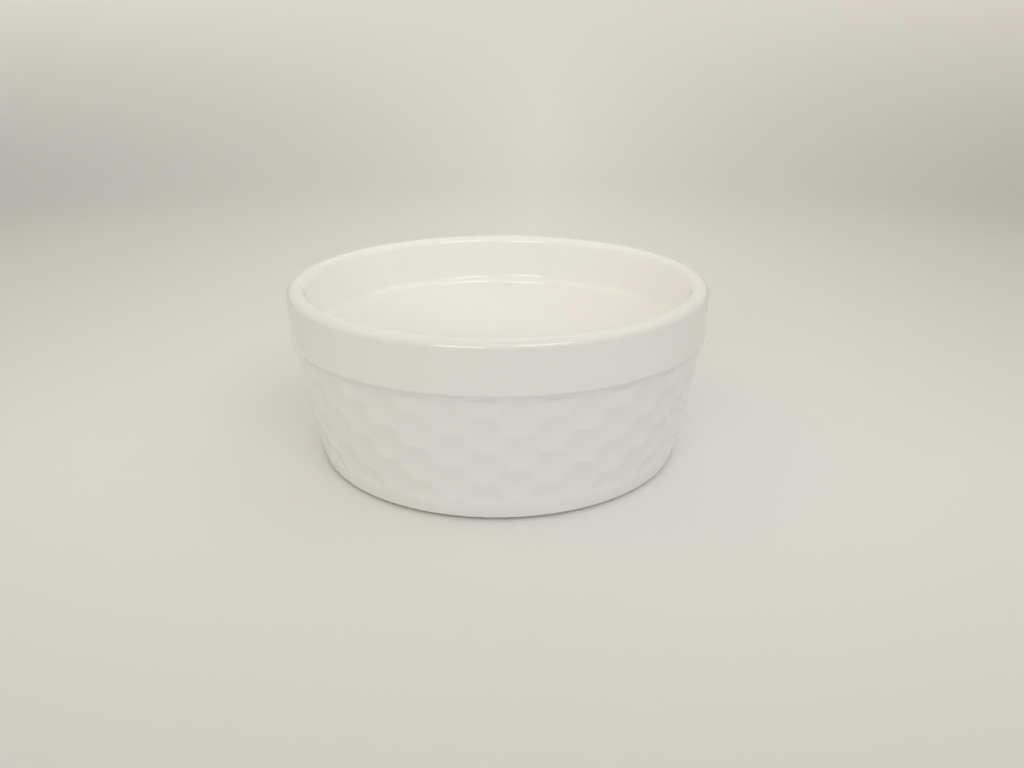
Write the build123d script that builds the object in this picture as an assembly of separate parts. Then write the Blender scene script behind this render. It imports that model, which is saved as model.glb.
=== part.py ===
from build123d import *
import os

os.makedirs("parts", exist_ok=True)

# Outside of the finished dish, over its glaze, in millimetres
dish_height = 44.0
rim_diameter = 105.0
base_diameter = 92.2            # where the line of the wall meets the foot
collar_height = 12.2            # from the top of the rim to the collar's lower edge
collar_overhang = 0.6           # how far the collar stands out from the wall under it
collar_round_share = 0.8        # of the overhang, for the collar's lower edge

# Rim and inside
rim_width = 4.2
rim_round_share = 0.46          # of the rim's width, on each side of its top
rim_draft = 0.4                 # how much narrower the inside is at the ledge than at the rim
ledge_drop = 12.1               # from the top of the rim to the back of the sloping ledge
ledge_fall = 1.45               # from the back of the ledge to its front edge
ledge_back_round = 2.6
ledge_edge_round = 2.6
wall_width = 4.9                # level thickness of the wall below the ledge
floor_width = 4.0
floor_round = 7.5               # between the wall and the floor, inside

# Foot
recess_depth = 1.0              # of the hollow under the base, inside the foot ring
foot_inner_diameter = 79.0
foot_round = 2.0                # outer edge of the foot

# Glaze
glaze_width = 0.3
bare_foot_share = 0.7           # of the recess depth: how high the foot is left bare

# Dimples: staggered rows of shallow round hollows that meet in low ridges
dimple_columns = 21
dimple_rows = 7                 # counted from the collar, each half a column further round
row_spacing = 4.35              # along the wall
first_row_drop = 0.8            # of the top row's middle below the collar
dimple_depth = 0.42
dimple_width = 11.6             # across a dimple where it would run out in a flat wall
last_row_share = 0.45           # of the depth, for the lowest row, which fades into the plain band

overrun = 2.0                   # of every cut beyond what it cuts

rim_radius = rim_diameter / 2
base_radius = base_diameter / 2
neck_radius = rim_radius - collar_overhang
widest_radius = max(rim_radius, base_radius)
collar_low = dish_height - collar_height
floor_top = recess_depth + floor_width
bare_height = recess_depth * bare_foot_share
glazed_foot = -glaze_width      # the foot, drawn as if the glaze ran under it as well

# The outer wall from the foot up to the collar, as radius and height
wall_line = Line((base_radius, glazed_foot), (neck_radius, collar_low))


def wall_radius(z):
    """Radius of the plain outer wall at a height."""
    share = (z - glazed_foot) / (collar_low - glazed_foot)
    return base_radius + (neck_radius - base_radius) * share


def section(inset):
    """Half section of the dish, with its surface set back from the glaze's."""
    inner_rim_radius = rim_radius - rim_width
    foot_inner_radius = foot_inner_diameter / 2
    rim_round = rim_width * rim_round_share
    ledge_back_height = dish_height - ledge_drop
    ledge_edge_height = ledge_back_height - ledge_fall

    floor_corner = (wall_radius(floor_top) - wall_width, floor_top)
    ledge_edge = (wall_radius(ledge_edge_height) - wall_width, ledge_edge_height)
    ledge_back = (inner_rim_radius - rim_draft, ledge_back_height)
    rim_inside = (inner_rim_radius, dish_height)
    rim_outside = (rim_radius, dish_height)
    collar_edge = (rim_radius, collar_low)
    foot_edge = (base_radius, glazed_foot)
    outline = Polyline(
        foot_edge,
        (foot_inner_radius, glazed_foot),
        (foot_inner_radius - recess_depth, recess_depth),
        (-overrun, recess_depth),
        (-overrun, floor_top),
        floor_corner,
        ledge_edge,
        ledge_back,
        rim_inside,
        rim_outside,
        collar_edge,
        (neck_radius, collar_low),
    )
    face = make_face(outline + wall_line)

    # Hollow corners widen and proud ones tighten as the surface is set back
    rounds = [
        (floor_corner, floor_round + inset),
        (rim_inside, rim_round - inset),
        (rim_outside, rim_round - inset),
        (foot_edge, foot_round - inset),
    ]
    if inset:
        face = offset(face, amount=-inset, kind=Kind.INTERSECTION)
    else:
        # The ledge and the collar's edge are crisp in the clay, and the glaze softens them
        rounds.append((ledge_back, ledge_back_round))
        rounds.append((ledge_edge, ledge_edge_round))
        rounds.append((collar_edge, collar_overhang * collar_round_share))
    for corner, radius in rounds:
        nearest = face.vertices().sort_by_distance(corner)[0]
        face = fillet(nearest, radius)
    wide = widest_radius + overrun
    return face & Pos(wide / 2, dish_height / 2) * Rectangle(wide, dish_height + 2 * overrun)


def dimple_column(inset):
    """What one column of dimples takes out of the wall, from the middle of one ridge to the next."""
    column_angle = 360 / dimple_columns
    ball_radius = (dimple_width**2 / 4 + dimple_depth**2) / (2 * dimple_depth)
    balls = Part()
    for row in range(dimple_rows):
        depth = dimple_depth * (last_row_share if row == dimple_rows - 1 else 1)
        share = 1 - (first_row_drop + row * row_spacing) / wall_line.length
        spot = wall_line @ share
        upward = wall_line % share
        away = ball_radius - depth
        ball = Pos(spot.X + upward.Y * away, 0, spot.Y - upward.X * away) * Sphere(ball_radius + inset)
        turns = (-column_angle / 2, column_angle / 2) if row % 2 else (0,)
        balls += [Rot(0, 0, turn) * ball for turn in turns]
    wedge = Cylinder(
        widest_radius + overrun,
        collar_low + inset + overrun,
        arc_size=column_angle,
        align=(Align.NONE, Align.NONE, Align.MIN),
    )
    return Rot(0, 0, -column_angle / 2) * wedge & balls


def dish(inset):
    """The whole dish, with its surface and its dimples set back from the glaze's."""
    turned = revolve(Plane.XZ * section(inset), Axis.Z)
    under_collar = Plane.XY.offset(collar_low + inset)
    collar = split(turned, under_collar, keep=Keep.TOP)
    bowl = split(turned, under_collar, keep=Keep.BOTTOM)
    column = dimple_column(inset)
    front = -90
    places = [front + 360 / dimple_columns * place for place in range(dimple_columns)]
    return collar + (bowl - [Rot(0, 0, place) * column for place in places])


# The fired clay, with the dimples moulded in its wall
porcelain_body = dish(glaze_width)

# The glass coat over all of it but the foot it stands on, which parts it in two
coats = split(dish(0) - porcelain_body, Plane.XY.offset(bare_height), keep=Keep.TOP)
base_glaze, glaze_coat = coats.solids().sort_by(lambda coat: coat.volume)

pieces = {
    "porcelain_body": porcelain_body,
    "glaze_coat": glaze_coat,
    "base_glaze": base_glaze,
}
for name, piece in pieces.items():
    export_step(piece, f"parts/{name}.step")
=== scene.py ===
import math

import bpy
from mathutils import Matrix, Vector


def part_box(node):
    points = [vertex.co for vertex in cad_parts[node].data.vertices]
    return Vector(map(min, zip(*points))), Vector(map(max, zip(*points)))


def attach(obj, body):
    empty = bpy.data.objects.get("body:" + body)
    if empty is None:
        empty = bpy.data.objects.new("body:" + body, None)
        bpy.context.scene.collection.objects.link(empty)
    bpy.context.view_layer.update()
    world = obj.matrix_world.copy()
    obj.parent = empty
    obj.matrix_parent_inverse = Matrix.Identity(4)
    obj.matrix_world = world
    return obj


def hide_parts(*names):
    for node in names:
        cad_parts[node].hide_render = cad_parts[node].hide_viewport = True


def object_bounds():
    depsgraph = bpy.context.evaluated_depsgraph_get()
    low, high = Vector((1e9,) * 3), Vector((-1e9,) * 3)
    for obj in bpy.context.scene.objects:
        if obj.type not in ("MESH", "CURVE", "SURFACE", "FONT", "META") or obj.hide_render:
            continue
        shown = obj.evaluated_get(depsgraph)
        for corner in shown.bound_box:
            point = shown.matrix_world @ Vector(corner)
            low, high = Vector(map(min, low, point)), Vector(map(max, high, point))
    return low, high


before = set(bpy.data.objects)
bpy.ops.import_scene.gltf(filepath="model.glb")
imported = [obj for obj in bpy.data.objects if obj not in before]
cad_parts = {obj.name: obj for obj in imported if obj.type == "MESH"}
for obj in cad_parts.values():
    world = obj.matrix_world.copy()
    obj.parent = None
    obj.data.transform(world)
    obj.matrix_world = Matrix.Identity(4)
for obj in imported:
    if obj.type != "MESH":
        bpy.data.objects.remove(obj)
cadLow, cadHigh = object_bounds()
print("frame loaded, nodes:", sorted(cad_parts))

mm = 0.001
paleLight = (1.0, 0.97, 0.91)


def wayTo(side, rise):
    # Direction seen from the dish: degrees round from its front towards +X, and degrees up
    side = math.radians(side)
    rise = math.radians(rise)
    return Vector((math.sin(side) * math.cos(rise), -math.cos(side) * math.cos(rise), math.sin(rise)))


# Camera

camera = {
    "turn": 3.9,           # degrees round the dish from its front, towards +X
    "elevation": 14.2,     # degrees, seen from the middle of the rim
    "distance": 217.5 * mm,
    "pitch": 21.47,        # degrees that it looks down
    "yaw": 0.93,           # degrees that it looks to the right of the dish's axis
    "lens": 29.88,
    "sensor": 36.0,
    "clip": (0.01, 20),
}


def makeCamera(c):
    data = bpy.data.cameras.new("photoCamera")
    data.lens = c["lens"]
    data.sensor_width = c["sensor"]
    data.clip_start, data.clip_end = c["clip"]
    obj = bpy.data.objects.new("photoCamera", data)
    bpy.context.scene.collection.objects.link(obj)
    rimMiddle = Vector((0, 0, cadHigh.z))
    obj.location = rimMiddle + wayTo(c["turn"], c["elevation"]) * c["distance"]
    look = -wayTo(c["turn"] - c["yaw"], c["pitch"])
    obj.rotation_mode = "QUATERNION"
    obj.rotation_quaternion = look.to_track_quat("-Z", "Y")
    bpy.context.scene.camera = obj


makeCamera(camera)
print("camera placed")


# Shared shader effects, as node groups that materials place with their own values

def newGroup(name, inputs, outputs):
    group = bpy.data.node_groups.new(name, "ShaderNodeTree")
    for label, kind, value in inputs:
        socket = group.interface.new_socket(label, in_out="INPUT", socket_type=kind)
        socket.default_value = value
    for label, kind in outputs:
        group.interface.new_socket(label, in_out="OUTPUT", socket_type=kind)
    start = group.nodes.new("NodeGroupInput")
    end = group.nodes.new("NodeGroupOutput")
    return group, start, end


def addNode(tree, kind, links=None, **settings):
    node = tree.nodes.new(kind)
    for name, value in settings.items():
        setattr(node, name, value)
    for socket, value in (links or {}).items():
        if isinstance(value, bpy.types.NodeSocket):
            tree.links.new(value, node.inputs[socket])
        else:
            node.inputs[socket].default_value = value
    return node


def addRange(tree, value, start, end, low=0.0, high=1.0):
    # The value's way from start to end, as a number from low to high
    ends = {"Value": value, "From Min": start, "From Max": end, "To Min": low, "To Max": high}
    return addNode(tree, "ShaderNodeMapRange", ends).outputs[0]


def addMix(tree, share, first, second):
    colors = {"Factor": share, "A": first, "B": second}
    return addNode(tree, "ShaderNodeMix", colors, data_type="RGBA").outputs["Result"]


def makeGlazeFlow():
    # Slow waves and pinholes of a poured glaze: a height, a tone mask and a roughness.
    # Sizes are in millimetres
    group, start, end = newGroup(
        "glazeFlow",
        [
            ("Wave Size", "NodeSocketFloat", 9.0),
            ("Pin Size", "NodeSocketFloat", 2.2),
            ("Pin Share", "NodeSocketFloat", 0.06),
            ("Pin Depth", "NodeSocketFloat", 0.15),
            ("Tone Size", "NodeSocketFloat", 18.0),
            ("Low Roughness", "NodeSocketFloat", 0.07),
            ("High Roughness", "NodeSocketFloat", 0.11),
        ],
        [
            ("Height", "NodeSocketFloat"),
            ("Tone", "NodeSocketFloat"),
            ("Roughness", "NodeSocketFloat"),
        ],
    )
    given = start.outputs
    place = addNode(group, "ShaderNodeTexCoord").outputs["Object"]

    def scaleOf(size):
        return addNode(group, "ShaderNodeMath", {0: 1 / mm, 1: given[size]}, operation="DIVIDE").outputs[0]

    waves = {"Vector": place, "Scale": scaleOf("Wave Size"), "Detail": 1.5}
    wave = addNode(group, "ShaderNodeTexNoise", waves).outputs[0]
    pins = {"Vector": place, "Scale": scaleOf("Pin Size")}
    pin = addNode(group, "ShaderNodeTexVoronoi", pins).outputs["Distance"]
    pit = addRange(group, pin, 0.0, given["Pin Share"], -1.0, 0.0)
    heights = {0: pit, 1: given["Pin Depth"], 2: wave}
    height = addNode(group, "ShaderNodeMath", heights, operation="MULTIPLY_ADD").outputs[0]
    rough = addRange(group, wave, 0.3, 0.7, given["Low Roughness"], given["High Roughness"])
    tones = {"Vector": place, "Scale": scaleOf("Tone Size"), "Detail": 3.0}
    tone = addNode(group, "ShaderNodeTexNoise", tones).outputs[0]
    group.links.new(height, end.inputs["Height"])
    group.links.new(tone, end.inputs["Tone"])
    group.links.new(rough, end.inputs["Roughness"])
    return group


glazeFlow = makeGlazeFlow()


# White glaze, on the coat and on the patch under the base. The outside is set darker than the inside
# to match the tones of the photograph. This is painted shade outside and painted light inside: the real
# glaze may well be one white all over

glazeFinish = {
    # Painted shade on the outside and painted light on the inside, in place of one glaze white
    "outsideShadedColor": (0.81, 0.808, 0.805, 1),
    "insideLitColor": (0.96, 0.957, 0.948, 1),
    "toneShare": 0.06,             # how much of that difference drifts over the surface
    "flow": {
        "Wave Size": 9.0,
        "Pin Size": 2.2,
        "Pin Share": 0.06,
        "Pin Depth": 0.15,
        "Tone Size": 1000 / 55,
        "Low Roughness": 0.07,
        "High Roughness": 0.11,
    },
    "ior": 1.58,
    "waveDepth": 0.004 * mm,
    "scatterWeight": 0.12,
    "scatterRadius": (1.2 * mm, 1.0 * mm, 0.8 * mm),
}


def makeGlaze(name, finish):
    material = bpy.data.materials.new(name)
    material.use_nodes = True
    tree = material.node_tree
    shader = tree.nodes["Principled BSDF"]
    flow = addNode(tree, "ShaderNodeGroup", node_tree=glazeFlow)
    for label, value in finish["flow"].items():
        flow.inputs[label].default_value = value
    # Painted light and shade: this mask colours the inside lighter and the outside darker
    inside = addNode(tree, "ShaderNodeAttribute", attribute_name="insideLitShare").outputs["Fac"]
    drift = {0: flow.outputs["Tone"], 1: finish["toneShare"], 2: inside}
    share = addNode(tree, "ShaderNodeMath", drift, operation="MULTIPLY_ADD", use_clamp=True).outputs[0]
    color = addMix(tree, share, finish["outsideShadedColor"], finish["insideLitColor"])
    relief = {"Height": flow.outputs["Height"], "Strength": 1.0, "Distance": finish["waveDepth"]}
    bump = addNode(tree, "ShaderNodeBump", relief)
    tree.links.new(color, shader.inputs["Base Color"])
    tree.links.new(flow.outputs["Roughness"], shader.inputs["Roughness"])
    tree.links.new(bump.outputs[0], shader.inputs["Normal"])
    shader.inputs["IOR"].default_value = finish["ior"]
    shader.inputs["Subsurface Weight"].default_value = finish["scatterWeight"]
    shader.inputs["Subsurface Radius"].default_value = finish["scatterRadius"]
    shader.inputs["Subsurface Scale"].default_value = 1.0
    return material


whiteGlaze = makeGlaze("whiteGlaze", glazeFinish)


# Bare fired clay, which shows on the foot ring

clayFinish = {
    "paleColor": (0.78, 0.745, 0.68, 1),
    "dullColor": (0.62, 0.575, 0.5, 1),     # rubbed and stained by ovens and tables
    "stainScale": 140.0,
    "stainRange": (0.45, 0.75),
    "grain": 0.35 * mm,
    "grainDepth": 0.02 * mm,
    "lowRoughness": 0.55,
    "highRoughness": 0.8,
}


def makeClay(finish):
    material = bpy.data.materials.new("bareClay")
    material.use_nodes = True
    tree = material.node_tree
    shader = tree.nodes["Principled BSDF"]
    place = addNode(tree, "ShaderNodeTexCoord").outputs["Object"]
    grains = {"Vector": place, "Scale": 1 / finish["grain"], "Detail": 4.0, "Roughness": 0.7}
    grain = addNode(tree, "ShaderNodeTexNoise", grains).outputs[0]
    stains = {"Vector": place, "Scale": finish["stainScale"], "Detail": 5.0, "Roughness": 0.65}
    stain = addNode(tree, "ShaderNodeTexNoise", stains).outputs[0]
    mask = addRange(tree, stain, *finish["stainRange"])
    color = addMix(tree, mask, finish["paleColor"], finish["dullColor"])
    rough = addRange(tree, grain, 0.0, 1.0, finish["lowRoughness"], finish["highRoughness"])
    bump = addNode(tree, "ShaderNodeBump", {"Height": grain, "Distance": finish["grainDepth"]})
    tree.links.new(color, shader.inputs["Base Color"])
    tree.links.new(rough, shader.inputs["Roughness"])
    tree.links.new(bump.outputs[0], shader.inputs["Normal"])
    return material


bareClay = makeClay(clayFinish)
print("materials made")


# The glaze coat: one soft skin turned round the axis, with the dimples pressed in its wall

coat = {
    "overhang": 0.65 * mm,         # of the collar over the wall
    "collarHeight": 11.75 * mm,
    "underside": 0.87 * mm,        # how far the collar's lower edge slants down to the wall
    "collarRound": 1.2 * mm,
    "neckRound": 2.2 * mm,
    "baseRadius": 46.1 * mm,       # where the line of the wall meets the foot
    "footLow": -0.3 * mm,
    "footRound": 2.0 * mm,
    "footReach": 4.0 * mm,         # how far in under the foot the path starts
    "bareHeight": 0.7 * mm,        # the coat ends this high above the table
    "wallSwell": 0.35 * mm,        # of the wall beyond a straight line, half way up
    "outerDepth": 2.6 * mm,        # the path's points this near to the wall line count as outside
    "rimWidth": 4.2 * mm,
    "rimRound": 1.93 * mm,
    "rimDraft": 0.4 * mm,
    "ledgeDrop": 12.1 * mm,
    "ledgeFall": 1.45 * mm,
    "ledgeBackRound": 2.6 * mm,
    "ledgeEdgeRound": 2.6 * mm,
    "wallWidth": 4.9 * mm,
    "floorTop": 5.0 * mm,
    "floorRound": 7.5 * mm,
    "skin": 0.15 * mm,             # how far the back of the skin lies under its face
    "columns": 21,
    "rowSpacing": 4.35 * mm,
    "firstRowDrop": 0.4 * mm,      # of the top row's middle below the collar
    "depth": 0.52 * mm,            # in the middle of a dimple
    "dimpleWidth": 10.4 * mm,      # where a lone dimple would run out
    "ridgeSharpness": 10,
    "fadeAtCollar": 1.2 * mm,
    "bandHeight": 3.4 * mm,        # plain band above the table
    "fadeAtBand": 3.0 * mm,
    "stepsPerColumn": 22,
    "wallStep": 0.45 * mm,
    "plainStep": 2.5 * mm,
    "arcStep": 6.0,                # degrees
}


def roundedPath(corners, arcStep):
    # Points along a run of straight lines whose corners are (place, round)
    points = [corners[0][0]]
    for (before, _), (here, radius), (after, _) in zip(corners, corners[1:], corners[2:]):
        into = (here - before).normalized()
        out = (after - here).normalized()
        turn = into.angle(out)
        if radius == 0 or turn < 1e-6:
            points.append(here)
            continue
        reach = radius * math.tan(turn / 2)
        side = 1 if into.x * out.y - into.y * out.x > 0 else -1
        start = here - into * reach
        middle = start + Vector((-into.y, into.x)) * radius * side
        steps = max(2, math.ceil(math.degrees(turn) / arcStep))
        for i in range(steps + 1):
            a = turn * i / steps * side
            points.append(middle + Matrix.Rotation(a, 2) @ (start - middle))
    points.append(corners[-1][0])
    return points


def filledIn(points, stepOf):
    # The same path with its long straight stretches divided
    filled = [points[0]]
    for a, b in zip(points, points[1:]):
        count = max(1, math.ceil((b - a).length / stepOf((a + b) / 2)))
        filled += [a.lerp(b, i / count) for i in range(1, count + 1)]
    return filled


def ease(share):
    share = min(max(share, 0), 1)
    return share * share * (3 - 2 * share)


def coatPath(c, rimRadius, rimTop):
    collarLow = rimTop - c["collarHeight"]
    neckLow = collarLow - c["underside"]
    neckRadius = rimRadius - c["overhang"]

    def wallShare(z):
        return (z - c["footLow"]) / (neckLow - c["footLow"])

    def wallRadius(z):
        return c["baseRadius"] + (neckRadius - c["baseRadius"]) * wallShare(z)

    innerRim = rimRadius - c["rimWidth"]
    ledgeBack = rimTop - c["ledgeDrop"]
    ledgeEdge = ledgeBack - c["ledgeFall"]
    corners = [
        (Vector((c["baseRadius"] - c["footReach"], c["footLow"])), 0),
        (Vector((c["baseRadius"], c["footLow"])), c["footRound"]),
        (Vector((neckRadius, neckLow)), c["neckRound"]),
        (Vector((rimRadius, collarLow)), c["collarRound"]),
        (Vector((rimRadius, rimTop)), c["rimRound"]),
        (Vector((innerRim, rimTop)), c["rimRound"]),
        (Vector((innerRim - c["rimDraft"], ledgeBack)), c["ledgeBackRound"]),
        (Vector((wallRadius(ledgeEdge) - c["wallWidth"], ledgeEdge)), c["ledgeEdgeRound"]),
        (Vector((wallRadius(c["floorTop"]) - c["wallWidth"], c["floorTop"])), c["floorRound"]),
        (Vector((0, c["floorTop"])), 0),
    ]
    wallAngle = math.atan2(neckRadius - c["baseRadius"], neckLow - c["footLow"])

    def onOuterSide(p):
        return p.x > wallRadius(p.y) - c["outerDepth"]

    def stepOf(p):
        onWall = onOuterSide(p) and p.y < collarLow
        return c["wallStep"] if onWall else c["plainStep"]

    path = filledIn(roundedPath(corners, c["arcStep"]), stepOf)
    path = [p for p in path if p.y > c["bareHeight"]]
    rows = []
    for i, p in enumerate(path):
        a = path[max(i - 1, 0)]
        b = path[min(i + 1, len(path) - 1)]
        along = (b - a).normalized()
        normal = Vector((along.y, -along.x))
        outside = onOuterSide(p) and p.y < neckLow
        fromCollar = (neckLow - p.y) / math.cos(wallAngle)
        weight = 0
        if outside:
            share = wallShare(p.y)
            p = p + normal * 4 * c["wallSwell"] * share * (1 - share)
            weight = ease(fromCollar / c["fadeAtCollar"])
            weight *= ease((p.y - c["bandHeight"]) / c["fadeAtBand"])
        # How far in from the rim's outer edge, the share of painted light on the inside
        inward = ease((rimRadius - p.x) / c["rimWidth"])
        rows.append((p, normal, weight, fromCollar, 0 if outside else inward))
    return rows


def dimpleHollow(c, turn, radius, fromCollar):
    # Round hollows in staggered rows, blended where they meet in a ridge: 1 in the middle of one
    pitch = 2 * math.pi * radius / c["columns"]
    column = turn * c["columns"] / (2 * math.pi)
    nearRow = round((fromCollar - c["firstRowDrop"]) / c["rowSpacing"])
    total = 0
    for row in range(nearRow - 2, nearRow + 3):
        along = fromCollar - c["firstRowDrop"] - row * c["rowSpacing"]
        place = column - (0.5 if row % 2 else 0)
        for spot in (math.floor(place), math.floor(place) + 1):
            across = (place - spot) * pitch
            gap = (across * across + along * along) / (c["dimpleWidth"] / 2) ** 2
            total += math.exp(c["ridgeSharpness"] * (1 - gap))
    return math.log(total) / c["ridgeSharpness"]


def makeCoat(c):
    low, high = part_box("glaze_coat")
    rows = coatPath(c, high.x, high.z)
    steps = c["columns"] * c["stepsPerColumn"]
    front = -math.pi / 2
    vertices, insideLitShares = [], []
    for under in (0, c["skin"]):
        for p, normal, weight, fromCollar, inward in rows:
            if p.x < 1e-6:
                vertices.append((0, 0, p.y - under))
                insideLitShares.append(inward)
                continue
            relief = [0] * c["stepsPerColumn"]
            if weight:
                turns = [2 * math.pi * i / steps for i in range(c["stepsPerColumn"])]
                relief = [dimpleHollow(c, turn, p.x, fromCollar) * weight for turn in turns]
            for i in range(steps):
                turn = 2 * math.pi * i / steps
                sunk = under + c["depth"] * relief[i % c["stepsPerColumn"]]
                r = p.x - normal.x * sunk
                z = p.y - normal.y * sunk
                vertices.append((r * math.cos(front + turn), r * math.sin(front + turn), z))
                insideLitShares.append(inward)
    rings = len(rows) - 1
    half = rings * steps + 1
    faces = []
    for base, flip in ((0, False), (half, True)):
        for ring in range(rings - 1):
            for i in range(steps):
                j = (i + 1) % steps
                a = base + ring * steps
                quad = (a + i, a + j, a + steps + j, a + steps + i)
                faces.append(quad[::-1] if flip else quad)
        last = base + (rings - 1) * steps
        for i in range(steps):
            fan = (last + i, last + (i + 1) % steps, base + rings * steps)
            faces.append(fan[::-1] if flip else fan)
    for i in range(steps):
        j = (i + 1) % steps
        faces.append((j, i, half + i, half + j))
    mesh = bpy.data.meshes.new("glazedCoat")
    mesh.from_pydata(vertices, [], faces)
    mesh.shade_smooth()
    # The share of painted light on the inside, kept on the points for the glaze
    mask = mesh.attributes.new("insideLitShare", "FLOAT", "POINT")
    mask.data.foreach_set("value", insideLitShares)
    mesh.materials.append(whiteGlaze)
    obj = bpy.data.objects.new("glazedCoat", mesh)
    bpy.context.scene.collection.objects.link(obj)
    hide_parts("glaze_coat")
    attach(obj, "root")
    print("coat made:", len(rows), "rings,", len(faces), "faces")
    return obj


makeCoat(coat)


def finishNode(node, material):
    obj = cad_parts[node]
    obj.data.materials.clear()
    obj.data.materials.append(material)


finishNode("porcelain_body", bareClay)
finishNode("base_glaze", whiteGlaze)
print("clay and base patch finished")


# Floor: flat under the dish, and curving up all round to stand as a backdrop

floor = {
    "flatRadius": 0.45,
    "curveRadius": 0.35,
    "wallHeight": 0.5,
    "steps": 96,
    "curveSteps": 16,
    "color": (0.865, 0.868, 0.878, 1),
    "frontShadeColor": (0.515, 0.515, 0.516, 1),      # painted shade, towards the camera
    "frontWidth": 0.2,
    "sideShare": 0.48,             # how fast it also changes sideways, of how fast towards the front
    "backdropLitColor": (0.88, 0.88, 0.884, 1),  # painted light, where the sweep has risen
    "backdropRise": 0.15,
    "roughness": 0.7,
    "specular": 0.2,
}


def makeFloor(f):
    profile = [(0, 0), (f["flatRadius"] / 2, 0), (f["flatRadius"], 0)]
    for i in range(1, f["curveSteps"] + 1):
        a = math.pi / 2 * i / f["curveSteps"]
        reach = f["flatRadius"] + f["curveRadius"] * math.sin(a)
        profile.append((reach, f["curveRadius"] * (1 - math.cos(a))))
    profile.append((f["flatRadius"] + f["curveRadius"], f["wallHeight"]))
    vertices = [(0, 0, 0)]
    faces = []
    for ring, (r, z) in enumerate(profile[1:]):
        for i in range(f["steps"]):
            turn = 2 * math.pi * i / f["steps"]
            vertices.append((r * math.cos(turn), r * math.sin(turn), z))
            j = (i + 1) % f["steps"]
            here = 1 + ring * f["steps"]
            if ring == 0:
                faces.append((0, here + i, here + j))
            else:
                below = here - f["steps"]
                faces.append((below + i, here + i, here + j, below + j))
    mesh = bpy.data.meshes.new("floor")
    mesh.from_pydata(vertices, [], faces)
    mesh.shade_smooth()
    material = bpy.data.materials.new("paleFloor")
    material.use_nodes = True
    tree = material.node_tree
    shader = tree.nodes["Principled BSDF"]
    place = addNode(tree, "ShaderNodeTexCoord").outputs["Object"]
    sides = {0: place, 1: (f["sideShare"], 1, 0)}
    squeezed = addNode(tree, "ShaderNodeVectorMath", sides, operation="MULTIPLY").outputs[0]
    # Behind the dish only the way to the sides counts
    fronts = {0: squeezed, 1: (1, 0, 0)}
    front = addNode(tree, "ShaderNodeVectorMath", fronts, operation="MINIMUM").outputs[0]
    reach = addNode(tree, "ShaderNodeVectorMath", {0: front}, operation="LENGTH").outputs["Value"]
    # Painted shade: the floor darkens towards the camera and to the sides. Painted light: it turns lighter
    # again as the sweep rises
    fade = addRange(tree, reach, 0.0, f["frontWidth"])
    flat = addMix(tree, fade, f["color"], f["frontShadeColor"])
    height = addNode(tree, "ShaderNodeSeparateXYZ", {0: place}).outputs["Z"]
    rise = addRange(tree, height, 0.0, f["backdropRise"])
    color = addMix(tree, rise, flat, f["backdropLitColor"])
    tree.links.new(color, shader.inputs["Base Color"])
    shader.inputs["Roughness"].default_value = f["roughness"]
    shader.inputs["Specular IOR Level"].default_value = f["specular"]

    # Seen from behind or below, the floor is clear
    clear = addNode(tree, "ShaderNodeBsdfTransparent").outputs[0]
    behind = addNode(tree, "ShaderNodeNewGeometry").outputs["Backfacing"]
    mix = addNode(tree, "ShaderNodeMixShader", {0: behind, 1: shader.outputs[0], 2: clear})
    tree.links.new(mix.outputs[0], tree.nodes["Material Output"].inputs["Surface"])
    mesh.materials.append(material)
    obj = bpy.data.objects.new("floor", mesh)
    bpy.context.scene.collection.objects.link(obj)


makeFloor(floor)
print("floor made")


# Light: a pale sky, duller overhead and at the sides, a soft box on each side and two lamps behind
# the camera. Their strengths were matched to the tones and highlights of the photograph

sky = {
    "leftColor": (0.56, 0.52, 0.41, 1),
    "middleColor": (*paleLight, 1),
    "rightColor": (0.78, 0.755, 0.7, 1),
    "sideReach": 0.7,              # sideways share of the direction at which the side's colour is full
    "strength": 0.95,
    "zenithStrength": 0.65,
    "zenithRise": (0.8, 0.92),     # sine of the elevation where it starts and ends to dim
}

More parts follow.
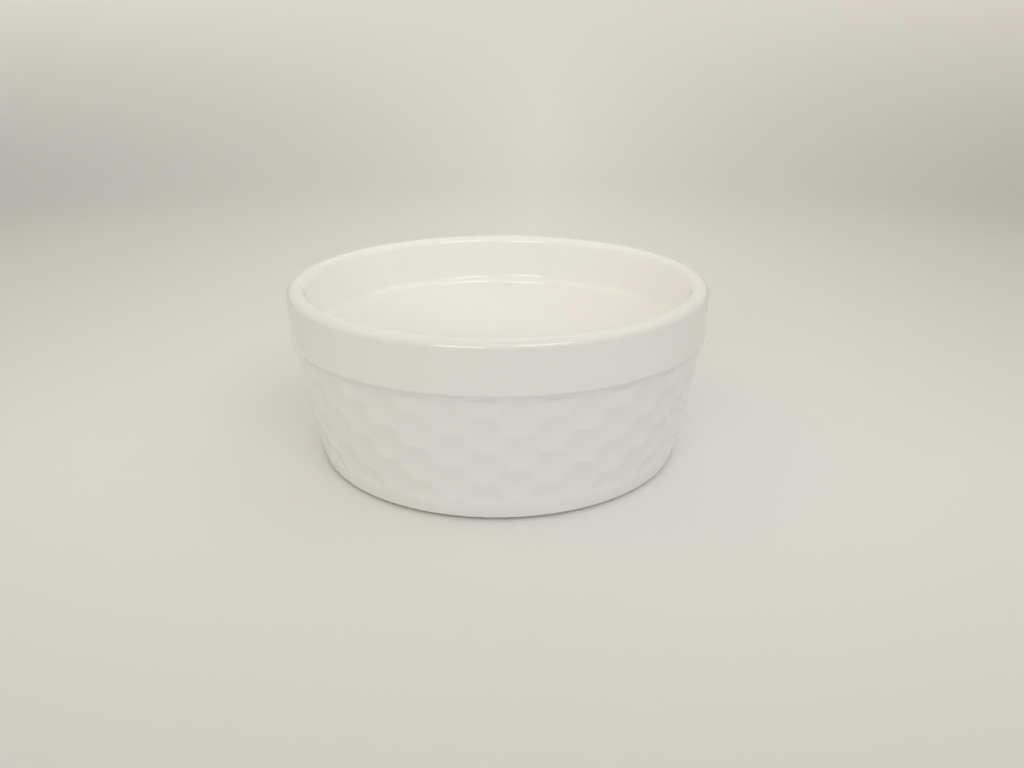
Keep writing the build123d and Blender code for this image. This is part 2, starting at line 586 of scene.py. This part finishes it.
lamps = [
    {
        "name": "leftBox",
        "side": -90,
        "rise": 50,
        "away": 0.9,
        "size": (0.6, 0.6),
        "watts": 0.7,
        "color": (1.0, 0.92, 0.7),
    },
    {
        "name": "rightBox",
        "side": 90,
        "rise": 50,
        "away": 0.9,
        "size": (0.6, 0.6),
        "watts": 0.65,
        "color": paleLight,
    },
    {
        "name": "leftLamp",
        "side": -15,
        "rise": 19.5,
        "away": 0.6,
        "size": (0.26, 0.1),
        "watts": 0.46,
        "color": paleLight,
    },
    {
        "name": "rightLamp",
        "side": 28,
        "rise": 35,
        "away": 0.6,
        "size": (0.28, 0.1),
        "watts": 0.44,
        "color": paleLight,
    },
]


def makeSky(s):
    world = bpy.data.worlds.new("paleSky")
    world.use_nodes = True
    tree = world.node_tree
    place = addNode(tree, "ShaderNodeTexCoord").outputs["Generated"]
    way = addNode(tree, "ShaderNodeSeparateXYZ", {0: place}).outputs
    leftward = addRange(tree, way["X"], 0.0, -s["sideReach"])
    rightward = addRange(tree, way["X"], 0.0, s["sideReach"])
    color = addMix(tree, leftward, s["middleColor"], s["leftColor"])
    color = addMix(tree, rightward, color, s["rightColor"])
    strength = addRange(tree, way["Z"], *s["zenithRise"], s["strength"], s["zenithStrength"])
    background = tree.nodes["Background"]
    tree.links.new(color, background.inputs["Color"])
    tree.links.new(strength, background.inputs["Strength"])
    bpy.context.scene.world = world


def makeLamp(lamp):
    toLamp = wayTo(lamp["side"], lamp["rise"])
    data = bpy.data.lights.new(lamp["name"], "AREA")
    data.shape = "RECTANGLE"
    data.size, data.size_y = lamp["size"]
    data.energy = lamp["watts"]
    data.color = lamp["color"]
    obj = bpy.data.objects.new(lamp["name"], data)
    obj.location = Vector((0, 0, cadHigh.z)) + toLamp * lamp["away"]
    obj.rotation_mode = "QUATERNION"
    obj.rotation_quaternion = toLamp.to_track_quat("Z", "Y")
    bpy.context.scene.collection.objects.link(obj)


makeSky(sky)
for lamp in lamps:
    makeLamp(lamp)
print("light set")


bpy.context.scene.view_settings.view_transform = "Standard"
